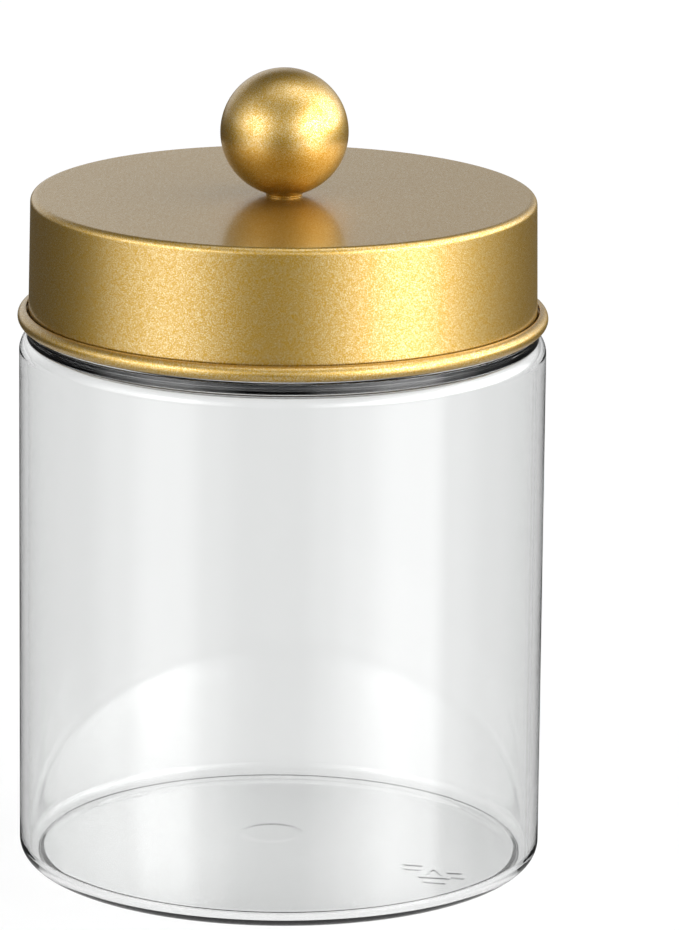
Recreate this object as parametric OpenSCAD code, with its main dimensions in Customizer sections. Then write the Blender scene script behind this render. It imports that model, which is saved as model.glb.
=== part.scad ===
// Clear plastic storage jar with a threaded neck and a gold screw lid that carries a ball knob.
// Right-handed single-start thread. The origin is the middle of the base, on the surface it stands on.

/* [Jar] */
// Outer diameter of the straight wall
jar_d = 72.5; // [66:0.5:80]
// Height of the shoulder
shoulder_h = 74; // [40:1:140]
// Thickness of the blown wall
jar_wall = 1.2; // [0.8:0.1:1.6]
// Thickness of the floor
floor_t = 1.2; // [1:0.1:2]
// Outer radius of the edge at the base
base_edge = 2.5; // [2:0.1:4]
// Outer radius of the edge at the shoulder
shoulder_edge = 1.5; // [1.3:0.1:3]
// How far the domed middle of the base is raised off the surface
push_up = 1.8; // [0.8:0.1:3]

/* [Neck] */
// Height of the neck above the shoulder
neck_h = 15.2; // [13:0.1:20]
// Wall thickness of the neck under the thread
neck_wall = 1.65; // [1.2:0.05:2.2]
// Height of the support ring at the foot of the neck
support_h = 1.45; // [0.8:0.05:1.6]
// How far the support ring is set in from the body
support_in = 1.05; // [0.9:0.05:3]
// Radius of the inside edge where the shoulder turns up into the neck
throat_edge = 3; // [2:0.1:4]

/* [Thread] */
// Rise for one turn, six turns to the inch
pitch = 4.233; // [3.5:0.1:4.5]
// Height of each ridge
ridge_h = 1.2; // [0.9:0.05:1.3]
// Play between the neck and the insert, all round
play = 0.37; // [0.3:0.01:0.5]
// Turns of thread on the neck
neck_turns = 1.3; // [1:0.1:1.6]
// Turns of thread in the insert
insert_turns = 1.5; // [1:0.1:1.6]

/* [Lid] */
// Outer diameter of the lid's straight skirt
lid_d = 69.42; // [66:0.02:71]
// Height of the lid from its curled edge to its flat top
lid_h = 17.95; // [16:0.05:22]
// Gap between the shoulder and the lid's curled edge
lid_gap = 1.95; // [1.7:0.05:3]
// Thickness of the sheet metal
sheet = 0.4; // [0.3:0.05:0.5]
// Radius of the edge round the top
top_edge = 0.95; // [0.7:0.05:1.5]
// Thickness of the rolled curl at the lower edge
curl_d = 2.16; // [1.8:0.02:2.4]
// Wall thickness of the plastic insert
insert_wall = 1.15; // [1:0.05:1.3]
// Thickness of the insert's plate
plate_t = 1.2; // [1:0.1:1.6]
// Thickness of the foam seal
seal_t = 1.4; // [1:0.1:2]

/* [Knob] */
// Diameter of the ball
ball_d = 17.55; // [14:0.05:22]
// Diameter of the low foot under the ball
foot_d = 5; // [4.8:0.1:8]
// Diameter of the screw
screw_d = 4; // [3:0.5:4]
// Length of the screw under its head
screw_len = 8; // [6:1:10]

/* [Hidden] */
$fn = 96;
cut = 1; // how far a cutting shape runs past the face that it cuts
glue = 0.03; // film of glue between the shell and the insert
slack = 0.05; // space between the foam seal and each face that it meets

// Heights
rim_z = shoulder_h + neck_h;
lid_z = shoulder_h + lid_gap;
top_z = lid_z + lid_h;
under_z = top_z - sheet;
seal_z = rim_z + slack;
plate_z = seal_z + seal_t + slack;
insert_z = lid_z + 0.5;
ball_z = top_z + ball_d / 2;

// Radii, from the lid's skirt inwards to the mouth
jar_r = jar_d / 2;
lid_r = lid_d / 2;
insert_r = lid_r - sheet - glue;
insert_bore_r = insert_r - insert_wall;
neck_crest_r = insert_bore_r - play;
neck_r = neck_crest_r - ridge_h;
insert_crest_r = neck_r + play;
mouth_r = neck_r - neck_wall;
support_r = jar_r - support_in;
curl_r = curl_d / 2;

// Thread ridges
ridge_foot = 2.3; // width where the ridge meets the wall
ridge_top = 1.0; // width at the crest
ridge_bed = 0.3; // how deep the foot is sunk into the wall
ridge_steps = 60; // steps in one turn
fade_steps = 5; // steps over which an end runs out
neck_ridge_z = rim_z - 3.0 - pitch * neck_turns;
insert_ridge_z = insert_z + 1.75;
// Turn that sets the insert's ridge midway between the turns of the neck's ridge
mesh_turn = 360 * (insert_ridge_z - neck_ridge_z + pitch / 2) / pitch;

// Base
stand_r = jar_r - base_edge - 1.75; // inside edge of the ring that the jar stands on
dome_r = (stand_r * stand_r + push_up * push_up) / (2 * push_up); // radius of the raised dome
gate_r = 4.4; // round mark left where the plastic entered the mould
gate_w = 0.6; // width of that mark's groove
gate_h = 0.25; // depth of that mark's groove

// Insert, seal and fastener
seal_r = insert_bore_r - 0.15;
lip_r = seal_r - 0.4; // lip that keeps the seal in the lid
lip_h = 0.5;
well_r = 6; // round well in the insert, for the screw's head
rib_t = 1.2;
rib_ring_r = 20;
rib_count = 8;
washer_r = screw_d;
washer_t = 0.5;
head_r = screw_d * 0.95;
head_h = screw_d * 0.5;
key_af = screw_d * 0.625; // hexagonal key, across its flats
key_depth = 1.2;
hole_gap = 0.15; // play of the screw in the lid's hole and the washer
bore_gap = 0.04; // space between the screw and the ball's threaded hole

// Half section of a can from z0 to z1, with round edges low and high.
module can_section(r, z0, z1, low, high) {
    translate([0, z0 + low]) square([r, z1 - z0 - low - high]);
    translate([0, z0]) square([r - low, low]);
    translate([0, z1 - high]) square([r - high, high]);
    translate([r - low, z0 + low]) circle(low);
    translate([r - high, z1 - high]) circle(high);
}

// Ring between two radii, from height z up to z + h.
module ring(r_in, r_out, z, h) {
    translate([0, 0, z]) difference() {
        cylinder(r = r_out, h = h);
        translate([0, 0, -cut]) cylinder(r = r_in, h = h + 2 * cut);
    }
}

// Share of its full height that a ridge has at step i of n, so that its ends run out.
function fade(i, n) = min(1, (i + 1) / fade_steps, (n - i + 1) / fade_steps);

// Thread ridge: a trapezoid carried up the helix, from the wall at wall_r to a crest at crest_r.
// It stands outwards if crest_r is the larger, and inwards if it is the smaller.
module ridge(wall_r, crest_r, z, turns) {
    side = sign(crest_r - wall_r);
    n = ceil(turns * ridge_steps);
    bed_r = wall_r - side * ridge_bed;
    points = [
        for (i = [0:n])
            let (a = 360 * turns * i / n)
            let (lift = z + pitch * turns * i / n)
            let (tip_r = wall_r + (crest_r - wall_r) * fade(i, n))
            for (p = [
                [bed_r, -ridge_foot / 2], [tip_r, -ridge_top / 2],
                [tip_r, ridge_top / 2], [bed_r, ridge_foot / 2]
            ])
                [p[0] * cos(a), p[0] * sin(a), lift + side * p[1]]
    ];
    sides = [
        for (i = [0:n - 1], k = [0:3])
            let (a = 4 * i + k, b = 4 * i + (k + 1) % 4)
            each [[a, b, b + 4], [a, b + 4, a + 4]]
    ];
    ends = [[2, 1, 0], [3, 2, 0], [4 * n, 4 * n + 1, 4 * n + 2], [4 * n, 4 * n + 2, 4 * n + 3]];
    polyhedron(points, concat(sides, ends), convexity = 4);
}

// Blown jar in clear plastic, with its support ring, neck and thread in one piece.
module jar_body() {
    color([0.86, 0.9, 0.9, 0.4]) {
        difference() {
            rotate_extrude() {
                can_section(jar_r, 0, shoulder_h, base_edge, shoulder_edge);
                translate([0, shoulder_h - shoulder_edge])
                    square([support_r, shoulder_edge + support_h]);
                square([neck_r, rim_z]);
            }
            difference() {
                rotate_extrude() {
                    can_section(jar_r - jar_wall, floor_t, shoulder_h - jar_wall,
                        base_edge - jar_wall / 2, shoulder_edge - jar_wall / 2);
                    translate([0, shoulder_h - 2 * jar_wall]) square([mouth_r, rim_z]);
                    throat_section();
                }
                dome(push_up + floor_t);
            }
            dome(push_up);
            ring(gate_r - gate_w, gate_r, 0, push_up + gate_h);
        }
        ridge(neck_r, neck_crest_r, neck_ridge_z, neck_turns);
    }
}

// Half section of what the round inside edge takes off the foot of the neck.
module throat_section() {
    under_shoulder = shoulder_h - jar_wall;
    difference() {
        translate([mouth_r - cut, under_shoulder - cut]) square(throat_edge + cut);
        translate([mouth_r + throat_edge, under_shoulder + throat_edge]) circle(throat_edge);
    }
}

// Ball whose top, at height z, gives the base its shallow dome.
module dome(z) {
    translate([0, 0, z - dome_r]) sphere(r = dome_r, $fn = 256);
}

// Gold-painted sheet-metal shell of the lid, with its lower edge curled outwards.
module lid_shell() {
    color([0.76, 0.6, 0.29]) difference() {
        rotate_extrude() {
            difference() {
                skin_section(lid_r, top_z, top_edge);
                skin_section(lid_r - sheet, under_z, top_edge - sheet);
            }
            translate([lid_r - sheet + curl_r, lid_z + curl_r]) curl_section();
        }
        translate([0, 0, under_z - cut]) cylinder(r = screw_d / 2 + hole_gap, h = sheet + 2 * cut);
    }
}

// Half section of the lid's outline, from its curl up to height z.
module skin_section(r, z, edge) {
    low = lid_z + curl_r;
    translate([0, low]) square([r, z - low - edge]);
    translate([0, z - edge]) square([r - edge, edge]);
    translate([r - edge, z - edge]) circle(edge);
}

// The curl: a rolled strip that starts at the skirt and closes back onto it from outside.
module curl_section() {
    difference() {
        circle(curl_r);
        circle(curl_r - sheet);
        polygon([[0, 0], [-2 * curl_r, 0], [-2 * curl_r, 2 * curl_r], [-0.95 * curl_r, 2 * curl_r]]);
    }
}

// Moulded insert glued into the shell: it carries the thread and backs the seal.
module threaded_insert() {
    color([0.12, 0.12, 0.13]) {
        difference() {
            union() {
                ring(insert_bore_r, insert_r, insert_z, under_z - top_edge - insert_z);
                ring(lip_r, insert_bore_r + cut / 2, rim_z - lip_h - 0.2, lip_h);
                translate([0, 0, plate_z]) cylinder(r = insert_bore_r + cut / 2, h = plate_t);
                ribs();
            }
            translate([0, 0, plate_z - cut]) cylinder(r = well_r, h = top_z - plate_z);
        }
        rotate(mesh_turn)
            ridge(insert_bore_r, insert_crest_r, insert_ridge_z, insert_turns);
    }
}

// Ribs on top of the insert's plate, which hold the metal top flat.
module ribs() {
    rib_h = under_z - plate_z - slack;
    ring(well_r, well_r + rib_t, plate_z, rib_h);
    ring(rib_ring_r, rib_ring_r + rib_t, plate_z, rib_h);
    for (i = [0:rib_count - 1])
        rotate(i * 360 / rib_count)
            translate([well_r + rib_t / 2, -rib_t / 2, plate_z])
                cube([insert_bore_r - well_r - rib_t, rib_t, rib_h]);
}

// Foam disc that the rim presses against.
module seal_liner() {
    color([0.2, 0.2, 0.21]) translate([0, 0, seal_z]) cylinder(r = seal_r, h = seal_t);
}

// Gold-painted ball with a low foot and a blind threaded hole.
module ball_knob() {
    color([0.79, 0.63, 0.31]) difference() {
        union() {
            translate([0, 0, ball_z]) sphere(d = ball_d);
            translate([0, 0, top_z]) cylinder(d = foot_d, h = ball_d / 8);
        }
        translate([0, 0, top_z - cut])
            cylinder(r = screw_d / 2 + bore_gap, h = screw_len + cut);
    }
}

// Low button-head screw that comes up through the lid into the ball.
module knob_screw() {
    seat_z = under_z - washer_t;
    dome_r = (head_r * head_r + head_h * head_h) / (2 * head_h);
    color([0.72, 0.72, 0.74]) {
        difference() {
            intersection() {
                translate([0, 0, seat_z - head_h]) cylinder(r = head_r, h = head_h);
                translate([0, 0, seat_z - head_h + dome_r]) sphere(r = dome_r);
            }
            translate([0, 0, seat_z - head_h - cut])
                cylinder(r = key_af / sqrt(3), h = key_depth + cut, $fn = 6);
        }
        translate([0, 0, seat_z]) cylinder(r = screw_d / 2, h = screw_len);
    }
}

// Flat washer between the screw's head and the sheet metal.
module knob_washer() {
    color([0.66, 0.66, 0.68])
        ring(screw_d / 2 + hole_gap, washer_r, under_z - washer_t, washer_t);
}

jar_body();
lid_shell();
threaded_insert();
seal_liner();
ball_knob();
knob_screw();
knob_washer();
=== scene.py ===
from math import pi, radians, sin, tau

import bpy
import numpy as np
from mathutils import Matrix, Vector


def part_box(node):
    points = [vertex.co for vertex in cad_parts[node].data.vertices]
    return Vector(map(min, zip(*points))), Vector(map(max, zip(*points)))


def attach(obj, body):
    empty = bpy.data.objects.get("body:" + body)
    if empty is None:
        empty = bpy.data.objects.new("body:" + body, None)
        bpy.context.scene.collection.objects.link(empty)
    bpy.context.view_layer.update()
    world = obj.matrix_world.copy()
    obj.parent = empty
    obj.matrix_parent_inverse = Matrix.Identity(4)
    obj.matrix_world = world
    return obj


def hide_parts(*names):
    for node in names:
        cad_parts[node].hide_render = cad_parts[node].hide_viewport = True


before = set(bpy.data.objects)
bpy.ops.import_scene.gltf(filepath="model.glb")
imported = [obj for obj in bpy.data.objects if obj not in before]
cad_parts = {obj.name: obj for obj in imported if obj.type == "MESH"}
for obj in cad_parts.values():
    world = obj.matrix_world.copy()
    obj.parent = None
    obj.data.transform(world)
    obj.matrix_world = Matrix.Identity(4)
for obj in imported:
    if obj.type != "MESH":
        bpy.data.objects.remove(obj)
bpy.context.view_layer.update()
mm = 0.001

# ---------------------------------------------------------------------------
# Camera: a long lens most of a metre away and just right of the jar's axis.
# It looks down on the jar a little, and leans by half a degree.
look_down = radians(14.165)
lean = radians(0.57)
eye = (7.07 * mm, -916.3 * mm, 287.4 * mm)

camera = bpy.data.objects.new("camera", bpy.data.cameras.new("camera"))
bpy.context.scene.collection.objects.link(camera)
camera.data.lens = 264.7
camera.data.sensor_width = 36
camera.data.shift_x = 0.0070
camera.data.shift_y = -0.0026
camera.data.clip_start, camera.data.clip_end = 0.01, 100
camera.location = eye
camera.rotation_mode = "XYZ"
camera.rotation_euler = (pi / 2 - look_down, 0, 0)
camera.rotation_euler.rotate_axis("Z", lean)
bpy.context.scene.camera = camera


# ---------------------------------------------------------------------------
# Studio: a pale floor in a dark room. Tall softboxes stand at the front left
# and front right, with a panel behind, a lamp overhead and a broad fill from
# above the right-hand side.
def material(name, colour, roughness, metallic=0.0):
    """New Principled material with one colour and one roughness: returns it and its shader."""
    made = bpy.data.materials.new(name)
    made.use_nodes = True
    shader = made.node_tree.nodes["Principled BSDF"]
    shader.inputs["Base Color"].default_value = (*colour, 1)
    shader.inputs["Roughness"].default_value = roughness
    shader.inputs["Metallic"].default_value = metallic
    return made, shader


# The floor glows a little, so that it is evenly pale. It is kept out of reflections and shadows.
floor_half = 4.0
floor_z = -0.05 * mm
floor_mesh = bpy.data.meshes.new("floor")
floor_mesh.from_pydata(
    [(-floor_half, -floor_half, floor_z), (floor_half, -floor_half, floor_z),
     (floor_half, floor_half, floor_z), (-floor_half, floor_half, floor_z)],
    [], [(0, 1, 2, 3)],
)
floor_object = bpy.data.objects.new("floor", floor_mesh)
bpy.context.scene.collection.objects.link(floor_object)
floor_paint, floor_shader = material("floor_paint", (0.2, 0.2, 0.2), 0.9)
floor_shader.inputs["Specular IOR Level"].default_value = 0.0
floor_shader.inputs["Emission Color"].default_value = (1, 1, 1, 1)
floor_shader.inputs["Emission Strength"].default_value = 0.725
floor_mesh.materials.append(floor_paint)
floor_object.visible_glossy = False
floor_object.visible_shadow = False

room = bpy.data.worlds.new("room")
bpy.context.scene.world = room
room.use_nodes = True
room_nodes, room_links = room.node_tree.nodes, room.node_tree.links


def computed(operation, first, second):
    """Math node that joins two sockets or numbers."""
    node = room_nodes.new("ShaderNodeMath")
    node.operation = operation
    for socket, value in zip(node.inputs, (first, second)):
        if isinstance(value, (int, float)):
            socket.default_value = value
        else:
            room_links.new(value, socket)
    return node.outputs[0]


def graded(value, low, high, stops):
    """Brightness that runs smoothly through the stops as value goes from low to high."""
    spread = room_nodes.new("ShaderNodeMapRange")
    spread.inputs["From Min"].default_value = low
    spread.inputs["From Max"].default_value = high
    room_links.new(value, spread.inputs["Value"])
    ramp = room_nodes.new("ShaderNodeValToRGB")
    ramp.color_ramp.interpolation = "EASE"
    elements = ramp.color_ramp.elements
    while len(elements) < len(stops):
        elements.new(0.5)
    for element, (at, level) in zip(elements, stops):
        element.position = (at - low) / (high - low)
        element.color = (level, level, level, 1)
    room_links.new(spread.outputs[0], ramp.inputs["Fac"])
    return ramp.outputs["Color"]


direction = room_nodes.new("ShaderNodeTexCoord")
split = room_nodes.new("ShaderNodeSeparateXYZ")
room_links.new(direction.outputs["Generated"], split.inputs[0])
right, away, up = split.outputs
turn = computed("ARCTAN2", right, computed("MULTIPLY", away, -1))


def round_about(*stops):
    """Brightness by direction round the jar: degrees from the front, positive to the right."""
    return graded(turn, -pi, pi, [(radians(degrees), level) for degrees, level in stops])


def by_height(*stops):
    """Brightness by how far up the direction points, from -1 straight down to 1 straight up."""
    return graded(up, -1, 1, stops)


dark_room = 0.04
softbox_power, overhead_power, fill_power = 5.5, 0.9, 6.2
softboxes = round_about(
    (-96, 0.0), (-74, 0.3), (-56, 0.68), (-44, 0.68), (-30, 0.25), (-14, 0.0),
    (8, 0.0), (20, 0.24), (32, 0.5), (52, 1.0), (68, 0.95), (80, 0.33), (104, 0.06), (132, 0.0),
)
softbox_height = by_height(
    (-0.6, 0.0), (-0.38, 0.45), (-0.3, 0.7), (-0.16, 0.7), (-0.05, 0.45), (0.1, 0.7), (0.2, 1.0),
    (0.4, 1.0), (0.6, 0.2), (0.75, 0.0),
)
overhead = by_height((0.9, 0.0), (0.95, 1.0))
near_table = by_height((-0.55, 0.6), (-0.3, 0.0))
# The panel behind is brighter on the left than on the right.
behind = graded(computed("ABSOLUTE", turn, 0), 0, pi, [(radians(120), 0.0), (radians(155), 1.0)])
panel_height = by_height((-0.1, 0.0), (0.08, 0.85), (0.35, 0.85), (0.6, 0.0))
panel_side = graded(right, -1, 1, [(-0.16, 1.0), (0.16, 0.5)])
panel = computed("MULTIPLY", computed("MULTIPLY", behind, panel_height), panel_side)
fill_side = round_about(
    (-165, 0.0), (-136, 0.03), (-112, 0.07), (-88, 0.23), (-40, 0.14), (30, 0.13), (70, 0.5),
    (104, 1.0), (124, 0.55), (145, 0.11), (165, 0.0),
)
fill_height = by_height((0.0, 0.0), (0.13, 0.85), (0.6, 0.75), (0.8, 0.42), (0.95, 0.55))
fill = computed("MULTIPLY", fill_side, fill_height)
light = computed("MULTIPLY", softboxes, computed("MULTIPLY", softbox_height, softbox_power))
# Light that has been inside the clear plastic meets the bright table wherever it leaves downwards.
seen = room_nodes.new("ShaderNodeLightPath")
table = computed(
    "MULTIPLY",
    computed("GREATER_THAN", seen.outputs["Transmission Depth"], 0.5),
    by_height((-0.12, 0.6), (0.02, 0.0)),
)
for more in (computed("MULTIPLY", overhead, overhead_power), near_table, panel,
             computed("MULTIPLY", fill, fill_power), table, dark_room):
    light = computed("ADD", light, more)
room_links.new(light, room_nodes["Background"].inputs["Color"])
# Beyond the edge of the floor the camera itself sees plain white.
white = room_nodes.new("ShaderNodeBackground")
white.inputs["Color"].default_value = (1, 1, 1, 1)
either = room_nodes.new("ShaderNodeMixShader")
room_links.new(seen.outputs["Is Camera Ray"], either.inputs[0])
room_links.new(room_nodes["Background"].outputs[0], either.inputs[1])
room_links.new(white.outputs[0], either.inputs[2])
room_links.new(either.outputs[0], room_nodes["World Output"].inputs["Surface"])

bpy.context.scene.view_settings.view_transform = "Standard"


# ---------------------------------------------------------------------------
# Jar: one blown piece of clear PET plastic, thin walled, with a domed base, a
# rounded shoulder, a support ring and a neck that carries the thread.
def arc(centre_r, centre_z, radius, start, end, steps):
    """Points on a circle in the section plane, from the start angle to the end angle in degrees."""
    turn = np.radians(np.linspace(start, end, steps + 1))
    return np.column_stack([centre_r + radius * np.cos(turn), centre_z + radius * np.sin(turn)])


def straight(from_r, from_z, to_r, to_z, steps):
    """Points on a straight line of the section, closer together towards its two ends."""
    share = (1 - np.cos(np.linspace(0, pi, steps + 1))) / 2
    return np.column_stack([from_r + (to_r - from_r) * share, from_z + (to_z - from_z) * share])


def joined(*runs):
    """Stretches of a section put end to end, in metres, without the points that repeat."""
    points = np.vstack(runs) * mm
    gap = np.linalg.norm(np.diff(points, axis=0), axis=1)
    return points[np.concatenate([[True], gap > 1e-8])]


def shell_mesh(name, radius, height, angles, ring=False):
    """Surface of rows carried round the axis: radius and height have a row for each point of the
    section and a column for each angle. The first and last rows close to poles on the axis, or
    onto each other if ring is true. Faces point outwards when the section runs anticlockwise."""
    rows, columns = radius.shape
    xyz = np.stack([radius * np.cos(angles), radius * np.sin(angles), height], axis=-1)
    index = np.arange(rows * columns).reshape(rows, columns)
    low, high = (index, np.roll(index, -1, axis=0)) if ring else (index[:-1], index[1:])
    quads = np.stack([low, np.roll(low, -1, axis=1), np.roll(high, -1, axis=1), high], axis=-1)
    faces = quads.reshape(-1, 4).tolist()
    points = xyz.reshape(-1, 3)
    if not ring:
        poles = np.array([[0, 0, height[0].mean()], [0, 0, height[-1].mean()]])
        first, last = len(points), len(points) + 1
        points = np.vstack([points, poles])
        faces += np.stack([np.roll(index[0], -1), index[0], np.full(columns, first)], axis=-1).tolist()
        faces += np.stack([index[-1], np.roll(index[-1], -1), np.full(columns, last)], axis=-1).tolist()
    mesh = bpy.data.meshes.new(name)
    mesh.from_pydata(points.tolist(), [], faces)
    mesh.shade_smooth()
    mesh.update()
    piece = bpy.data.objects.new(name, mesh)
    bpy.context.scene.collection.objects.link(piece)
    return piece


def turned(name, section, columns=256, ring=False):
    """A section in metres turned about the axis."""
    angles = np.arange(columns) * tau / columns
    radius, height = (np.repeat(section[:, k:k + 1], columns, axis=1) for k in (0, 1))
    return shell_mesh(name, radius, height, angles, ring)


def smooth(x):
    """Rises from 0 to 1 without a corner as x does."""
    x = np.clip(x, 0, 1)
    return x * x * (3 - 2 * x)


def thread_height(angles, height, start, turns, pitch, foot, crest, fade=0.08):
    """Share of the full ridge, 0 to 1, at each angle and height: distance from the helix along
    the axis, eased from the crest's width out to the foot's, and faded out at both ends over
    a share of a turn."""
    share = np.zeros(np.broadcast(angles, height).shape)
    for lap in range(-1, int(turns) + 2):
        along = angles / tau + lap
        away = np.abs(height - start - pitch * along)
        ridge = smooth((foot / 2 - away) / ((foot - crest) / 2))
        ends = smooth(along / fade) * smooth((turns - along) / fade)
        share = np.maximum(share, ridge * ends)
    return share


jar_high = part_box("jar_body")[1]
jar_r = jar_high.x / mm
rim_z = jar_high.z / mm
wall, floor_t = 1.2, 1.2
base_edge, throat_edge = 2.5, 3.0
shoulder_edge, shoulder_z = 2.5, 72.2
support_r, support_top = jar_r - 1.05, 75.65
ring_edge, neck_foot = 0.25, 0.3
neck_r, mouth_r = 31.55, 29.9
rim_outer_edge, rim_inner_edge = 0.5, 0.4
stand_r, push_up = 32.0, 1.8
pitch, ridge_h, neck_turns = 4.233, 1.2, 1.3
ridge_foot, ridge_crest, ridge_below_rim = 2.3, 1.0, 3.0
neck_ridge_z = rim_z - ridge_below_rim - pitch * neck_turns


def dome(r):
    """Height of the base's shallow dome at radius r: a parabola down to the ring that the jar
    stands on, and level beyond it, with the corner between them softened."""
    rise = push_up * (1 - (r / stand_r) ** 2)
    softening = 0.002
    return (rise + np.sqrt(rise * rise + softening)) / 2


def bar(x, y, from_x, from_y, to_x, to_y, width):
    """Share of full height, 0 to 1, on a straight rounded bar between two points: it falls from
    half the width out to the whole width away from the line between them."""
    run, rise = to_x - from_x, to_y - from_y
    along = np.clip(((x - from_x) * run + (y - from_y) * rise) / (run * run + rise * rise), 0, 1)
    away = np.hypot(x - from_x - along * run, y - from_y - along * rise)
    return smooth((width - away) / (width / 2))


# The gate: a soft round dimple where the plastic entered the mould, a little off the middle.
gate_x, gate_r, gate_edge, gate_depth = -1.0, 4.1, 0.7, 0.025
# The moulder's mark: a plain triangle between short bars, raised on the underside of the dome.
mark_x, mark_y, mark_h, mark_line = 21.3, -14.0, 0.05, 0.5
mark_bars = (
    (-1.7, -1.8, 1.7, -1.8), (1.7, -1.8, 0.0, 2.2), (0.0, 2.2, -1.7, -1.8),
    (-3.7, 2.6, -1.9, 2.6), (-3.7, 0.9, -2.1, 0.9), (2.1, 0.6, 3.5, 0.6), (2.6, -1.2, 3.8, -1.2),
    (-1.1, -3.7, 1.2, -3.7),
)


def relief(x, y):
    """Height added to the underside at a place in mm by the gate's dimple and the mark."""
    dimple = smooth((gate_r + gate_edge - np.hypot(x - gate_x, y)) / (2 * gate_edge))
    mark = sum(bar(x - mark_x, y - mark_y, *ends, mark_line) for ends in mark_bars)
    return gate_depth * dimple - mark_h * np.minimum(mark, 1)


# The steps are short where the dimple's edge and the mark are.
pole_gap = 0.3
dome_steps = np.concatenate([
    np.linspace(pole_gap, 2.7, 6), np.linspace(2.9, 6.0, 22), np.linspace(6.6, 18.6, 20),
    np.linspace(18.9, 31.5, 52), np.linspace(31.7, jar_r - base_edge, 8),
])
underside = np.column_stack([dome_steps, dome(dome_steps)])
inner_r = jar_r - wall
inner_edge = 1.7
inner_shoulder = shoulder_edge - wall
under_shoulder = shoulder_z + inner_shoulder
floor_rows = np.linspace(inner_r - inner_edge, pole_gap, 44)
inner_floor = np.column_stack([floor_rows, dome(floor_rows) + floor_t])
fillet = 0.15
meet = np.degrees(np.arccos((support_r + fillet - jar_r + shoulder_edge) / (shoulder_edge + fillet)))
fillet_z = shoulder_z + (shoulder_edge + fillet) * sin(radians(meet))
outside = joined(
    underside,
    arc(jar_r - base_edge, base_edge, base_edge, -90, 0, 16),
    straight(jar_r, base_edge, jar_r, shoulder_z, 8),
    arc(jar_r - shoulder_edge, shoulder_z, shoulder_edge, 0, meet, 16),
    arc(support_r + fillet, fillet_z, fillet, 180 + meet, 180, 5),
    arc(support_r - ring_edge, support_top - ring_edge, ring_edge, 0, 90, 6),
    arc(neck_r + neck_foot, support_top + neck_foot, neck_foot, 270, 180, 5),
    straight(neck_r, support_top + neck_foot, neck_r, rim_z - rim_outer_edge, 96),
    arc(neck_r - rim_outer_edge, rim_z - rim_outer_edge, rim_outer_edge, 0, 90, 6),
    arc(mouth_r + rim_inner_edge, rim_z - rim_inner_edge, rim_inner_edge, 90, 180, 6),
    straight(mouth_r, rim_z - rim_inner_edge, mouth_r, under_shoulder + throat_edge, 8),
    arc(mouth_r + throat_edge, under_shoulder + throat_edge, throat_edge, 180, 270, 20),
    arc(inner_r - inner_shoulder, shoulder_z, inner_shoulder, 90, 0, 14),
    straight(inner_r, shoulder_z, inner_r, floor_t + inner_edge, 8),
    arc(inner_r - inner_edge, floor_t + inner_edge, inner_edge, 0, -90, 14),
    inner_floor,
)
# The columns are close together round the mark and evenly spread elsewhere.
mark_turn, mark_half = np.arctan2(mark_y, mark_x), radians(15)
jar_angles = np.concatenate([
    np.linspace(mark_turn - mark_half, mark_turn + mark_half, 50),
    np.linspace(mark_turn + mark_half, mark_turn - mark_half + tau, 186)[1:-1],
])
jar_radius = np.repeat(outside[:, :1], len(jar_angles), axis=1)
jar_height = np.repeat(outside[:, 1:], len(jar_angles), axis=1)
under = slice(0, len(dome_steps))
jar_height[under] += mm * relief(
    jar_radius[under] / mm * np.cos(jar_angles), jar_radius[under] / mm * np.sin(jar_angles))
on_neck = (np.abs(outside[:, 0] - neck_r * mm) < 1e-7) & (outside[:, 1] > support_top * mm)
jar_radius[on_neck] += ridge_h * mm * thread_height(
    jar_angles[None, :], jar_height[on_neck] / mm,
    neck_ridge_z, neck_turns, pitch, ridge_foot, ridge_crest)
jar = shell_mesh("blown_jar", jar_radius, jar_height, jar_angles)

clear, clear_shader = material("clear_pet", (0.878, 0.884, 0.882), 0.0)
clear_shader.inputs["Transmission Weight"].default_value = 1.0
clear_shader.inputs["IOR"].default_value = 1.57
nodes, links = clear.node_tree.nodes, clear.node_tree.links
# Blown walls are never quite even: broad shallow waves, and here and there a faint haze.
place = nodes.new("ShaderNodeTexCoord")
waves = nodes.new("ShaderNodeTexNoise")
waves.inputs["Scale"].default_value = 55
waves.inputs["Detail"].default_value = 1
links.new(place.outputs["Object"], waves.inputs["Vector"])
bump = nodes.new("ShaderNodeBump")
bump.inputs["Strength"].default_value = 0.15
bump.inputs["Distance"].default_value = 0.0001
links.new(waves.outputs[0], bump.inputs["Height"])
links.new(bump.outputs["Normal"], clear_shader.inputs["Normal"])
haze = nodes.new("ShaderNodeMapRange")
haze.inputs["From Min"].default_value = 0.5
haze.inputs["From Max"].default_value = 0.9
haze.inputs["To Max"].default_value = 0.006
links.new(waves.outputs[0], haze.inputs["Value"])
links.new(haze.outputs[0], clear_shader.inputs["Roughness"])
# Light on its way to the floor goes straight through the wall, so the shadow is only faint.
path = nodes.new("ShaderNodeLightPath")
lets_through = nodes.new("ShaderNodeBsdfTransparent")
lets_through.inputs["Color"].default_value = (0.93, 0.93, 0.93, 1)
blend = nodes.new("ShaderNodeMixShader")
links.new(path.outputs["Is Shadow Ray"], blend.inputs[0])
links.new(clear_shader.outputs[0], blend.inputs[1])
links.new(lets_through.outputs[0], blend.inputs[2])
links.new(blend.outputs[0], nodes["Material Output"].inputs["Surface"])
jar.data.materials.append(clear)
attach(jar, "jar")
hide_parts("jar_body")


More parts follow.
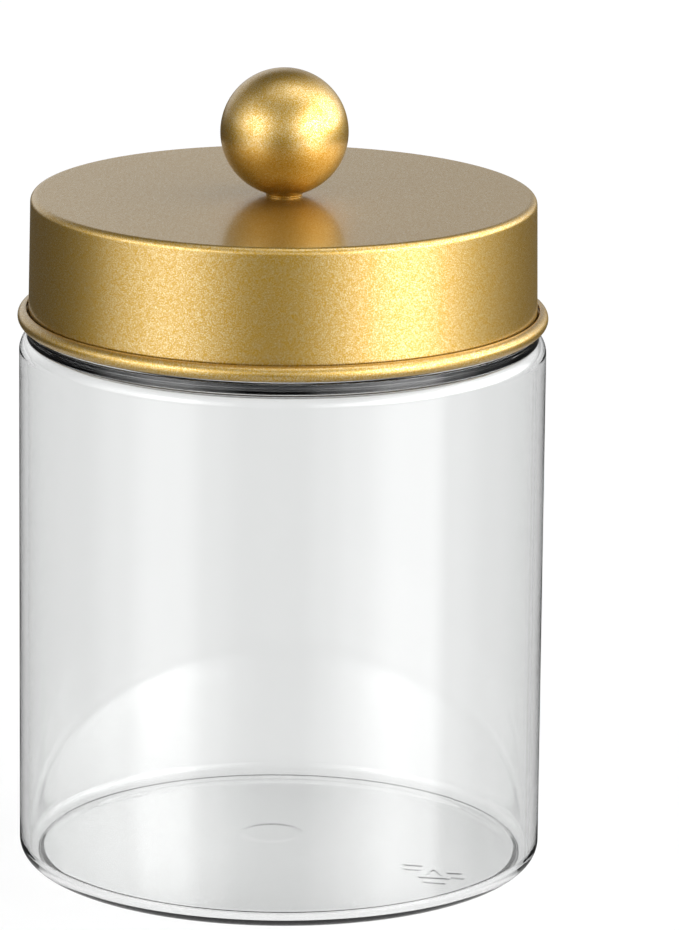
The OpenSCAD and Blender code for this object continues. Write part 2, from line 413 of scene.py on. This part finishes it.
# ---------------------------------------------------------------------------
# Lid shell: drawn sheet steel with a rolled lower edge, sprayed with a
# metallic gold paint and a clear coat. The insert is glued inside it.
def gold_paint(name):
    """Gold metallic paint under a clear coat. Each tiny flake lies between a deep gold that
    scatters widely and a pale gold that mirrors the light more tightly, and is tilted a little."""
    deep, pale = (0.44, 0.25, 0.014, 1), (0.66, 0.57, 0.34, 1)
    made, shader = material(name, deep[:3], 0.45, 1.0)
    shader.inputs["Coat Weight"].default_value = 0.6
    shader.inputs["Coat Roughness"].default_value = 0.13
    nodes, links = made.node_tree.nodes, made.node_tree.links
    place = nodes.new("ShaderNodeTexCoord")
    flakes = nodes.new("ShaderNodeTexVoronoi")
    flakes.inputs["Scale"].default_value = 14000
    links.new(place.outputs["Object"], flakes.inputs["Vector"])
    chance = nodes.new("ShaderNodeSeparateColor")
    links.new(flakes.outputs["Color"], chance.inputs[0])
    kind = nodes.new("ShaderNodeMapRange")
    kind.interpolation_type = "SMOOTHSTEP"
    kind.inputs["From Min"].default_value = 0.45
    kind.inputs["From Max"].default_value = 1.0
    links.new(chance.outputs["Red"], kind.inputs["Value"])
    tint = nodes.new("ShaderNodeMix")
    tint.data_type = "RGBA"
    tint.inputs["A"].default_value = deep
    tint.inputs["B"].default_value = pale
    links.new(kind.outputs[0], tint.inputs["Factor"])
    links.new(tint.outputs["Result"], shader.inputs["Base Color"])
    gloss = nodes.new("ShaderNodeMapRange")
    gloss.inputs["To Min"].default_value = 0.44
    gloss.inputs["To Max"].default_value = 0.34
    links.new(kind.outputs[0], gloss.inputs["Value"])
    links.new(gloss.outputs[0], shader.inputs["Roughness"])
    bump = nodes.new("ShaderNodeBump")
    bump.inputs["Strength"].default_value = 0.08
    bump.inputs["Distance"].default_value = 0.00002
    links.new(chance.outputs["Green"], bump.inputs["Height"])
    links.new(bump.outputs["Normal"], shader.inputs["Normal"])
    return made


lid_low, lid_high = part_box("lid_shell")
top_z = lid_high.z / mm
lid_z = lid_low.z / mm
curl_r = 1.08
sheet = 0.4
lid_r = lid_high.x / mm - 2 * curl_r + sheet
curl_c = lid_r - sheet + curl_r
curl_z = lid_z + curl_r
top_edge = 0.95
flare = 0.25
curl_end = 455
skirt_foot = curl_z + 1.1
screw_hole_r = 2.15
lid_skin = joined(
    straight(screw_hole_r, top_z - sheet, lid_r - top_edge, top_z - sheet, 12),
    arc(lid_r - top_edge, top_z - top_edge, top_edge - sheet, 90, 0, 8),
    straight(lid_r - sheet, top_z - top_edge, lid_r - sheet + flare, curl_z, 16),
    arc(curl_c, curl_z, curl_r, 180, curl_end, 56),
    arc(curl_c, curl_z, curl_r - sheet, curl_end, 180, 48),
    straight(lid_r + flare, skirt_foot, lid_r, top_z - top_edge, 16),
    arc(lid_r - top_edge, top_z - top_edge, top_edge, 0, 90, 12),
    straight(lid_r - top_edge, top_z, screw_hole_r, top_z, 20),
)
lid = turned("gold_lid", lid_skin, ring=True)
lid.data.materials.append(gold_paint("gold_paint"))
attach(lid, "lid")
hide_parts("lid_shell")

# ---------------------------------------------------------------------------
# Ball knob: a turned metal ball with a short foot, painted like the lid. The
# screw from inside the lid holds it, and it rests on the lid's top.
ball_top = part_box("ball_knob")[1].z / mm
ball_r = 17.55 / 2
ball_z = ball_top - ball_r
foot_r, foot_edge = 2.5, 0.1
foot_angle = np.degrees(np.arccos(foot_r / ball_r))
ball_skin = joined(
    np.array([[0.2, top_z], [foot_r - foot_edge, top_z]]),
    arc(foot_r - foot_edge, top_z + foot_edge, foot_edge, -90, 0, 3),
    arc(0, ball_z, ball_r, -foot_angle, 89.2, 110),
)
ball = turned("gold_ball", ball_skin, 192)
ball.data.materials.append(gold_paint("gold_ball_paint"))
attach(ball, "lid")
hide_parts("ball_knob")

# ---------------------------------------------------------------------------
# Inside the lid: a moulded black insert that carries the thread, a foam seal,
# and the plated screw and washer that hold the ball.
def worked(name, colour, roughness, spread, scale, height, metallic=0.0):
    """Material whose roughness varies by spread either way and whose skin has a fine relief, both
    from noise with scale cells to the metre; height is the relief in mm."""
    made, shader = material(name, colour, roughness, metallic)
    nodes, links = made.node_tree.nodes, made.node_tree.links
    place = nodes.new("ShaderNodeTexCoord")
    noise = nodes.new("ShaderNodeTexNoise")
    noise.inputs["Scale"].default_value = scale
    noise.inputs["Detail"].default_value = 4
    links.new(place.outputs["Object"], noise.inputs["Vector"])
    gloss = nodes.new("ShaderNodeMapRange")
    gloss.inputs["To Min"].default_value = roughness - spread
    gloss.inputs["To Max"].default_value = roughness + spread
    links.new(noise.outputs[0], gloss.inputs["Value"])
    links.new(gloss.outputs[0], shader.inputs["Roughness"])
    bump = nodes.new("ShaderNodeBump")
    bump.inputs["Distance"].default_value = height * mm
    links.new(noise.outputs[0], bump.inputs["Height"])
    links.new(bump.outputs["Normal"], shader.inputs["Normal"])
    return made


for part, paint in (
    ("threaded_insert", worked("black_plastic", (0.012, 0.012, 0.014), 0.35, 0.1, 2500, 0.01)),
    ("seal_liner", worked("seal_foam", (0.05, 0.05, 0.053), 0.8, 0.15, 4500, 0.12)),
    ("knob_screw", worked("zinc_screw", (0.62, 0.62, 0.64), 0.3, 0.1, 3000, 0.004, 1.0)),
    ("knob_washer", worked("zinc_washer", (0.6, 0.6, 0.62), 0.34, 0.1, 3000, 0.004, 1.0)),
):
    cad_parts[part].data.materials.clear()
    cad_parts[part].data.materials.append(paint)
